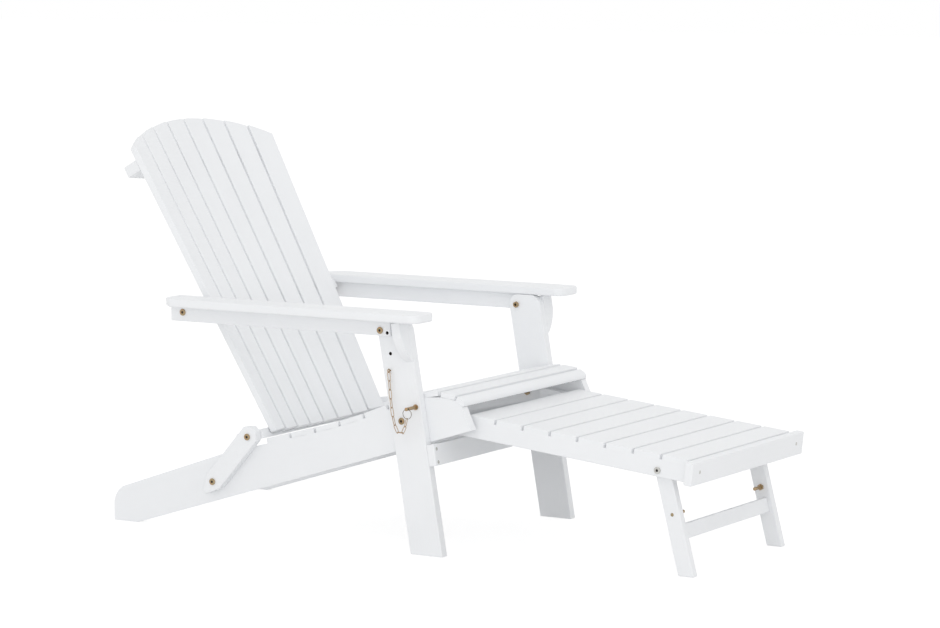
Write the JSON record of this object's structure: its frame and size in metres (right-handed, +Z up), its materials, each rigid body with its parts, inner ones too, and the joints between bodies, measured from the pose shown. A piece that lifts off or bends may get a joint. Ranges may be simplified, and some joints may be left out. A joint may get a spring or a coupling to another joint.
{
  "type": "folding deck chair",
  "caption": "White-painted slatted wooden deck chair that folds, with a fan back, flat arms, pinned front legs on a chain and a pull-out footrest on folding legs.",
  "frame": {"origin": "on the floor under the middle of the chair's box", "axes": "+X the way the sitter faces, towards the footrest; +Y to the sitter's left; +Z up"},
  "size_m": [1.5782, 0.76, 0.96],
  "materials": {
    "white_paint": "white satin paint over softwood board",
    "yellow_zinc": "yellow zinc plated steel",
    "chain_steel": "yellow zinc plated wire, dulled",
    "rod_steel": "plain drawn steel"
  },
  "bodies": {
    "front_legs": {"arm_bracket_left": "white_paint", "arm_bracket_right": "white_paint", "arm_front_bolts": "yellow_zinc", "chain_left": "chain_steel", "chain_right": "chain_steel", "front_leg_left": "white_paint", "front_leg_right": "white_paint", "front_stretcher": "white_paint"},
    "arms": {"arm_rail_left": "white_paint", "arm_rail_right": "white_paint", "arm_rear_bolts": "yellow_zinc", "armrest_left": "white_paint", "armrest_right": "white_paint"},
    "back": {"back_rib_bottom": "white_paint", "back_rib_middle": "white_paint", "back_rib_top": "white_paint", "back_slat_1": "white_paint", "back_slat_2": "white_paint", "back_slat_3": "white_paint", "back_slat_4": "white_paint", "back_slat_5": "white_paint", "back_slat_6": "white_paint", "back_slat_7": "white_paint", "back_slat_8": "white_paint", "link_top_bolts": "yellow_zinc"},
    "base": {"base_bolts": "yellow_zinc", "seat_nose_slat": "white_paint", "seat_slat_1": "white_paint", "seat_slat_2": "white_paint", "seat_slat_3": "white_paint", "seat_slat_4": "white_paint", "seat_slat_5": "white_paint", "seat_slat_6": "white_paint", "seat_slat_7": "white_paint", "seat_slat_8": "white_paint", "side_rail_left": "white_paint", "side_rail_right": "white_paint"},
    "footrest": {"footrest_front_board": "white_paint", "footrest_leg_bolts": "yellow_zinc", "footrest_rail_left": "white_paint", "footrest_rail_right": "white_paint", "footrest_slat_1": "white_paint", "footrest_slat_2": "white_paint", "footrest_slat_3": "white_paint", "footrest_slat_4": "white_paint", "footrest_slat_5": "white_paint", "footrest_slat_6": "white_paint", "footrest_slat_7": "white_paint", "footrest_slat_8": "white_paint"},
    "guide_rod": {"footrest_guide_rod": "rod_steel"},
    "footrest_legs": {"footrest_leg_left": "white_paint", "footrest_leg_right": "white_paint", "footrest_leg_stretcher": "white_paint", "footrest_leg_studs": "yellow_zinc"},
    "links": {"link_left": "white_paint", "link_right": "white_paint"},
    "lock_pin_left": {"lock_pin_left": "chain_steel", "pin_ring_left": "chain_steel"},
    "lock_pin_right": {"lock_pin_right": "chain_steel", "pin_ring_right": "chain_steel"}
  },
  "joints": [
    {"name": "fold", "type": "hinge", "parent": "base", "child": "front_legs", "pos_m": [0.05287, 0, 0.307], "axis": [0, 1, 0], "range_deg": [0, 66]},
    {"name": "arm_swing", "type": "hinge", "parent": "front_legs", "child": "arms", "pos_m": [0.00787, 0, 0.516], "axis": [0, 1, 0], "range_deg": [-78.85, 0]},
    {"name": "link_swing", "type": "hinge", "parent": "base", "child": "links", "pos_m": [-0.47813, 0, 0.122], "axis": [0, 1, 0], "range_deg": [-108.5, 0]},
    {"name": "back_swing", "type": "hinge", "parent": "links", "child": "back", "pos_m": [-0.37713, 0, 0.237], "axis": [0, 1, 0], "range_deg": [0, 203.72]},
    {"name": "footrest_slide", "type": "slide", "parent": "base", "child": "guide_rod", "axis": [-0.9763, 0, -0.2164], "range_m": [0, 0.26]},
    {"name": "footrest_tilt", "type": "hinge", "parent": "guide_rod", "child": "footrest", "pos_m": [0.11417, 0, 0.293], "axis": [0, 1, 0], "range_deg": [-16.8, 0]},
    {"name": "footrest_leg_fold", "type": "hinge", "parent": "footrest", "child": "footrest_legs", "pos_m": [0.6861, 0, 0.23741], "axis": [0, 1, 0], "range_deg": [0, 85]},
    {"name": "lock_pin_left_pull", "type": "slide", "parent": "front_legs", "child": "lock_pin_left", "axis": [0, 1, 0], "range_m": [0, 0.035], "deforming": ["chain_left"]},
    {"name": "lock_pin_right_pull", "type": "slide", "parent": "front_legs", "child": "lock_pin_right", "axis": [0, -1, 0], "range_m": [0, 0.035], "deforming": ["chain_right"]}
  ],
  "couplings": [
    {"joint": "arm_swing", "follows": "fold", "ratio": -1.1871},
    {"joint": "link_swing", "follows": "fold", "ratio": -1.6364},
    {"joint": "back_swing", "follows": "fold", "ratio": 3.079},
    {"joint": "footrest_tilt", "follows": "footrest_slide", "rad_per_m": -1.1076}
  ]
}
